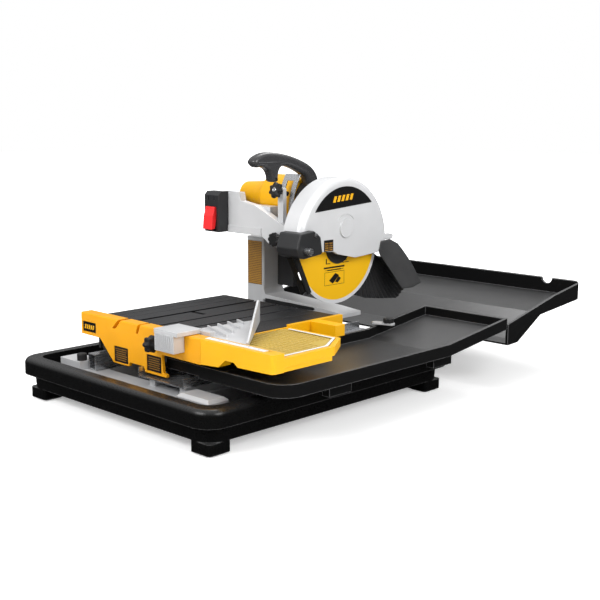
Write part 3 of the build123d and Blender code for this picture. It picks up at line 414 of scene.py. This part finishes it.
def sheet(name, corner, bend, cells, thick, slot, body, replaced=()):
    """Closed thin sheet: corner(u, v) gives a point in mm, bend(u, v) its push along X."""
    nu, nv = cells
    verts, faces = [], []
    for side in (0, 1):
        for i in range(nu + 1):
            for j in range(nv + 1):
                u, v = i / nu, j / nv
                y, z = corner(u, v)
                verts.append(Vector((bend(u, v) + side * thick, y, z)) * MM)
    layer = (nu + 1) * (nv + 1)

    def at(i, j, side):
        return side * layer + i * (nv + 1) + j

    for side in (0, 1):
        for i in range(nu):
            for j in range(nv):
                faces.append((at(i, j, side), at(i + 1, j, side), at(i + 1, j + 1, side),
                              at(i, j + 1, side)))
    for i in range(nu):
        for j in (0, nv):
            faces.append((at(i, j, 0), at(i + 1, j, 0), at(i + 1, j, 1), at(i, j, 1)))
    for j in range(nv):
        for i in (0, nu):
            faces.append((at(i, j, 0), at(i, j + 1, 0), at(i, j + 1, 1), at(i, j, 1)))
    return mesh_piece(name, verts, faces, slot, body, replaced=replaced)


def lerp(a, b, t):
    """Point at share t of the way from a to b."""
    return tuple(p + (q - p) * t for p, q in zip(a, b))


def along(points, t):
    """Point at share t of a chain of points."""
    place = min(t, 0.99999) * (len(points) - 1)
    k = int(place)
    return lerp(points[k], points[k + 1], place - k)


def marks(name, quads, normal_axis, place, slot, body, thick=0.25):
    """Printed marks: thin raised plates, each from a list of 2-D corners in mm."""
    verts, faces = [], []
    for quad in quads:
        base = len(verts)
        for lift in (0.0, thick):
            for p, q in quad:
                point = [p, q]
                point.insert(normal_axis, place + lift)
                verts.append(Vector(point) * MM)
        n = len(quad)
        faces.append(tuple(base + n + k for k in range(n)))
        faces.append(tuple(base + k for k in reversed(range(n))))
        for k in range(n):
            m = (k + 1) % n
            faces.append((base + k, base + m, base + n + m, base + n + k))
    return mesh_piece(name, verts, faces, slot, body, smooth=False)


def bar(p, q, width, height, lean=0.0):
    """Corners of a small printed bar whose middle is (p, q)."""
    w, h = width / 2, height / 2
    return [(p - w - lean, q - h), (p + w - lean, q - h), (p + w + lean, q + h), (p - w + lean, q + h)]


# D-shaped carrying handle
HANDLE = rounded([
    (-156, 478), (-144, 490), (-112, 497), (-60, 491), (-12, 477), (18, 462), (34, 443),
    (40, 418), (38, 409), (14, 409), (8, 424), (-2, 442), (-22, 454), (-48, 464), (-70, 467),
    (-81, 460), (-85, 447), (-86, 436), (-102, 436), (-105, 448), (-113, 460), (-128, 467),
    (-146, 467),
], 6)
grip = side_casting("grip_handle", HANDLE, -44, 27, 9, "dark_plastic", "head", ("handle",))
# the grip is a lighter copy of the dark plastic with lower roughness; its lighter colour is painted
# highlight on the handle
grip.data.materials[0] = surface("grip_satin_painted_highlight", (0.036, 0.036, 0.038), 0.26, vary=0.15, grain=1300,
                                 bump=0.2)

# water hoses that loop from the front block round to the arm
for hose, z in (("hose_low", 314), ("hose_high", 324)):
    tube(hose, [(9, -123, z), (-2, -122, z + 1), (-14, -112, z - 2), (-20, -92, z - 1), (-22, -67, z + 2)],
         2.3, "rubber_black", "head", ("water_hoses",) if hose == "hose_low" else ())

# pleated splash curtain just behind the blade plane
CURTAIN_TOP = [(85, 266), (136, 263), (171, 264)]
CURTAIN_END = [(73, 188), (143, 166), (200, 158), (257, 152), (288, 175)]


def curtain_point(u, v):
    """Side-view place on the curtain: u runs front to rear, v top to hem."""
    return lerp(along(CURTAIN_TOP, u), along(CURTAIN_END, u), v)


def curtain_push(u, v):
    """Place along X of the curtain's pleats, which flatten towards the hem."""
    fade = 1.0 - 0.55 * v
    return 12.5 + 4.2 * fade * math.cos(2 * math.pi * 15 * u) + 0.8 * math.sin(5 * v)


curtain = sheet("pleated_curtain", curtain_point, curtain_push, (180, 24), 1.6, "rubber_black",
                "head", ("splash_curtain",))

# hanging rubber flap behind the guard
FLAP_TOP = [(139, 277), (146, 299), (176, 301), (204, 289)]
FLAP_END = [(150, 262), (222, 183), (262, 182), (294, 189)]


def flap_point(u, v):
    """Side-view place on the flap: u runs across it, v from its screws to its hem."""
    head = along(FLAP_TOP, u)
    tail = along(FLAP_END, u)
    sag = 5 * math.sin(math.pi * v) * (u - 0.3)
    y, z = lerp(head, tail, v)
    return y + sag, z + sag


def flap_push(u, v):
    """Place along X of the flap, which bellies out towards its hem."""
    return 54.6 + 2.2 * v * math.sin(math.pi * min(1, u * 1.2)) - 1.2 * v * u


flap = sheet("rubber_flap", flap_point, flap_push, (36, 30), 2.0, "rubber_black", "head",
             ("rear_flap",))
# the flap's rubber is a lighter copy of the black rubber: painted sheen
for piece, finish in (
    (flap, surface("flap_rubber_painted_sheen", (0.05, 0.05, 0.051), 0.36, vary=0.3, grain=700, bump=0.2)),
    (curtain, surface("curtain_rubber", (0.022, 0.022, 0.023), 0.4, vary=0.3, grain=900, bump=0.2)),
):
    piece.data.materials[0] = finish
# each gets its own copy of its mesh data
for piece, top, share in ((curtain, 0.266, 0.75), (flap, 0.302, 0.7)):
    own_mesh(piece)

# knobs: the depth knob stands out from the plunge axis, along a line raised by 15 degrees
C15, S15 = math.cos(math.radians(15)), math.sin(math.radians(15))
PLUNGE_Y, PLUNGE_Z, KNOB_REACH = 105, 369, 173
finger_knob("depth_star_knob", (-59, PLUNGE_Y - KNOB_REACH * C15, PLUNGE_Z + KNOB_REACH * S15),
            (0, -C15, S15), 17, 12, "depth_knob", 30, ("depth_knob",))
finger_knob("guide_star_knob", (38, -477, 159), (-1, 0, 0), 16, 15, "guide_knob", 18, ("guide_knob",))

# yellow shell round the motor end of the head casting
turned("motor_cowl", (-167, 35, 392), (1, 0, 0), [
    (0, 44), (0.5, 48.6), (3, 49.6), (8, 49.8), (40, 49.8), (70, 49.8), (98, 49.8), (102, 49),
    (103, 47.5), (103, 44)], "yellow_plastic", "head")

# light strip along the extension deck's outer edge
EDGE = [(321, -440), (320, -312), (284, -254), (168, -254)]
INNER = [(316, -440), (315, -314), (281.5, -259), (168, -259)]
marks("extension_trim", [[EDGE[k], EDGE[k + 1], INNER[k + 1], INNER[k]] for k in range(3)], 2, 175.2,
      "scale_white", "extension", 0.8)

# ---- printed marks: bars and frames that stand for labels, with no letters -----------
GUARD_FACE, BLADE_FACE = 54.95, 27.02
FENCE_MARK_FACE = -458.85
SCALE_MARK_Z = 184.82  # on the strip's top at 184.8, under the edge guide at 185
marks("badge_bars", [bar(-6 + 13 * k, 399 + 0.9 * k, 8, 13, 2.4) for k in range(5)], 0, GUARD_FACE,
      "yellow_plastic", "head")
marks("guard_note", [bar(-24 + dx, 308 - 4.6 * k, 10.5, 2.6) for k in range(4) for dx in (-6.5, 6.5)],
      0, GUARD_FACE, "label_amber", "head")
marks("blade_bars", [bar(26 + dx, z, w, h) for dx, z, w, h in (
    (-27, 264, 3, 12), (-20, 259, 10, 2), (26, 262, 26, 1.4), (30, 258, 30, 1.4), (28, 266, 20, 1.4),
    (-2, 250, 66, 3.6), (-2, 244.5, 44, 2.6), (-2, 244.5, 60, 0.8))],
      0, BLADE_FACE, "label_ink", "blade", 0.15)
FRAME_Y, FRAME_Z, FRAME_W, FRAME_H = 25, 226, 62, 28
marks("blade_frame", [
    bar(FRAME_Y, FRAME_Z + FRAME_H / 2, FRAME_W, 0.8), bar(FRAME_Y, FRAME_Z - FRAME_H / 2, FRAME_W, 0.8),
    bar(FRAME_Y - FRAME_W / 2, FRAME_Z, 0.8, FRAME_H), bar(FRAME_Y + FRAME_W / 2, FRAME_Z, 0.8, FRAME_H),
    [(8, 222), (20, 214), (40, 231), (28, 237)], [(27, 218), (36, 215), (46, 224), (38, 229)],
], 0, BLADE_FACE, "label_ink", "blade", 0.15)
ARCS = [(19, 21, 200, 340), (30, 31.5, 35, 150)]
marks("guard_arcs", [
    [(30 + r * math.cos(math.radians(t)), 336 + r * math.sin(math.radians(t)))
     for r, t in ((low, t0), (high, t0), (high, t0 + 5), (low, t0 + 5))]
    for low, high, first, last in ARCS for t0 in range(first, last, 5)
], 0, 54.0, "silver_paint", "head", 1.2)
# near-black strip over the slot in the column's foot: painted shade in the slot
marks("foot_slot_shade", [[(-204, 141), (-50, 142), (-44, 146), (-50, 149), (-204, 151)]], 1, 39.4,
      "rubber_black", "base", 0.5)
marks("fence_note_left", [bar(-87, 127 - 4.2 * k, 36 - 3 * (k % 3), 1.7) for k in range(6)], 1,
      FENCE_MARK_FACE, "label_amber", "cart")
marks("fence_note_right", [bar(15, 127 - 4.2 * k, 36 - 4 * (k % 2), 1.7) for k in range(6)], 1,
      FENCE_MARK_FACE, "label_amber", "cart")
marks("fence_badge_bars", [bar(-204 + 6.5 * k, 156, 4, 9, 1.2) for k in range(5)], 1,
      FENCE_MARK_FACE, "yellow_plastic", "cart")
marks("deck_scale", [bar(158 + 5 * k, -441 + (1.6 if k % 5 else 0), 0.7, 9 if k % 5 == 0 else 5)
                     for k in range(31)], 2, SCALE_MARK_Z, "label_ink", "extension", 0.1)


# ---- floor, light and camera ----------------------------------------------------
def make_floor():
    """Large flat pale floor that glows for camera rays, a little near the machine and more with distance,
    so that it meets the backdrop and its shadows fade; glossy rays see it near black.
    """
    mesh = bpy.data.meshes.new("floor")
    size = 12.0
    verts = [(-size, -size, 0), (size, -size, 0), (size, size, 0), (-size, size, 0)]
    mesh.from_pydata(verts, [], [(0, 1, 2, 3)])
    floor = bpy.data.objects.new("floor", mesh)
    bpy.context.scene.collection.objects.link(floor)
    mat, tree, shader = new_material("floor_paper")
    grain = noise(tree, 60.0)
    paper = mix_color(tree, grain, (0.93, 0.93, 0.93), (0.97, 0.97, 0.97))
    path = tree.nodes.new("ShaderNodeLightPath")
    # painted reflection: glossy rays see the floor near black, so it shows dark in reflections
    tree.links.new(mix_color(tree, path.outputs["Is Glossy Ray"], paper, (0.03, 0.03, 0.03)),
                   shader.inputs["Base Color"])
    shader.inputs["Roughness"].default_value = 0.9
    shader.inputs["Specular IOR Level"].default_value = 0.0
    place = tree.nodes.new("ShaderNodeTexCoord")
    reach = tree.nodes.new("ShaderNodeVectorMath")
    reach.operation = "LENGTH"
    far = tree.nodes.new("ShaderNodeMapRange")
    far.inputs["From Min"].default_value = 0.7
    far.inputs["From Max"].default_value = 2.2
    far.inputs["To Min"].default_value = 0.35
    seen_far = tree.nodes.new("ShaderNodeMath")
    seen_far.operation = "MULTIPLY"
    tree.links.new(place.outputs["Object"], reach.inputs[0])
    tree.links.new(reach.outputs["Value"], far.inputs["Value"])
    tree.links.new(far.outputs[0], seen_far.inputs[0])
    tree.links.new(path.outputs["Is Camera Ray"], seen_far.inputs[1])
    # painted light: the camera sees the floor glow, which lightens the shadows on it
    shader.inputs["Emission Color"].default_value = (1, 1, 1, 1)
    tree.links.new(seen_far.outputs[0], shader.inputs["Emission Strength"])
    mesh.materials.append(mat)


def area_light(name, place, target, size, power):
    """Soft rectangular light aimed at a point."""
    data = bpy.data.lights.new(name, "AREA")
    data.shape = "RECTANGLE"
    data.size = size[0]
    data.size_y = size[1]
    data.energy = power
    light = bpy.data.objects.new(name, data)
    light.location = place
    light.rotation_euler = (Vector(target) - Vector(place)).to_track_quat("-Z", "Y").to_euler()
    bpy.context.scene.collection.objects.link(light)


def make_world():
    """White to the camera, an even glow to matt faces, dark near the ground to glossy ones."""
    world = bpy.data.worlds.new("studio")
    bpy.context.scene.world = world
    world.use_nodes = True
    sky = world.node_tree
    seen = sky.nodes["Background"]
    seen.inputs["Color"].default_value = (1, 1, 1, 1)
    seen.inputs["Strength"].default_value = 1.0
    heading = sky.nodes.new("ShaderNodeTexCoord")
    split = sky.nodes.new("ShaderNodeSeparateXYZ")
    dome = sky.nodes.new("ShaderNodeValToRGB")
    for stop, level in ((0.0, 0.05), (0.08, 0.08), (0.3, 0.4), (1.0, 1.0)):
        mark = dome.color_ramp.elements[0] if stop == 0.0 else dome.color_ramp.elements.new(stop)
        mark.color = (level, level, level, 1)
    dome.color_ramp.elements.remove(dome.color_ramp.elements[-1])
    mirrored = sky.nodes.new("ShaderNodeBackground")
    around = sky.nodes.new("ShaderNodeBackground")
    around.inputs["Color"].default_value = (1, 1, 1, 1)
    around.inputs["Strength"].default_value = 0.72
    path = sky.nodes.new("ShaderNodeLightPath")
    choose = sky.nodes.new("ShaderNodeMixShader")
    shown = sky.nodes.new("ShaderNodeMixShader")
    sky.links.new(heading.outputs["Generated"], split.inputs[0])
    sky.links.new(split.outputs["Z"], dome.inputs["Fac"])
    sky.links.new(dome.outputs[0], mirrored.inputs["Color"])
    sky.links.new(path.outputs["Is Glossy Ray"], choose.inputs[0])
    sky.links.new(around.outputs[0], choose.inputs[1])
    sky.links.new(mirrored.outputs[0], choose.inputs[2])
    sky.links.new(path.outputs["Is Camera Ray"], shown.inputs[0])
    sky.links.new(choose.outputs[0], shown.inputs[1])
    sky.links.new(seen.outputs[0], shown.inputs[2])
    sky.links.new(shown.outputs[0], sky.nodes["World Output"].inputs["Surface"])


def place_camera(place, azimuth, elevation, roll, lens):
    """Camera with its angles in degrees; azimuth turns from the front towards the right side."""
    azimuth, elevation, roll = (math.radians(a) for a in (azimuth, elevation, roll))
    forward = Vector((-math.sin(azimuth) * math.cos(elevation),
                      math.cos(azimuth) * math.cos(elevation), -math.sin(elevation)))
    right = Vector((math.cos(azimuth), math.sin(azimuth), 0))
    up = right.cross(forward)
    turned_right = right * math.cos(roll) + up * math.sin(roll)
    turned_up = up * math.cos(roll) - right * math.sin(roll)
    rotation = Matrix((turned_right, turned_up, -forward)).transposed()
    data = bpy.data.cameras.new("camera")
    data.lens = lens
    data.sensor_width = 36
    camera = bpy.data.objects.new("camera", data)
    camera.matrix_world = Matrix.Translation(place) @ rotation.to_4x4()
    bpy.context.scene.collection.objects.link(camera)
    bpy.context.scene.camera = camera


make_floor()
make_world()
area_light("key", (-0.2, -2.6, 1.9), (0, 0, 0.2), (1.8, 1.2), 55)
area_light("side", (2.8, -0.2, 1.7), (0, 0, 0.25), (1.4, 1.4), 55)
area_light("top", (-0.6, 1.4, 2.6), (0, 0, 0.2), (1.6, 1.6), 42)

place_camera((1.5295, -1.6277, 0.5774), 44.18, 10.16, 0.21, 62.64)
bpy.context.scene.view_settings.view_transform = "Standard"
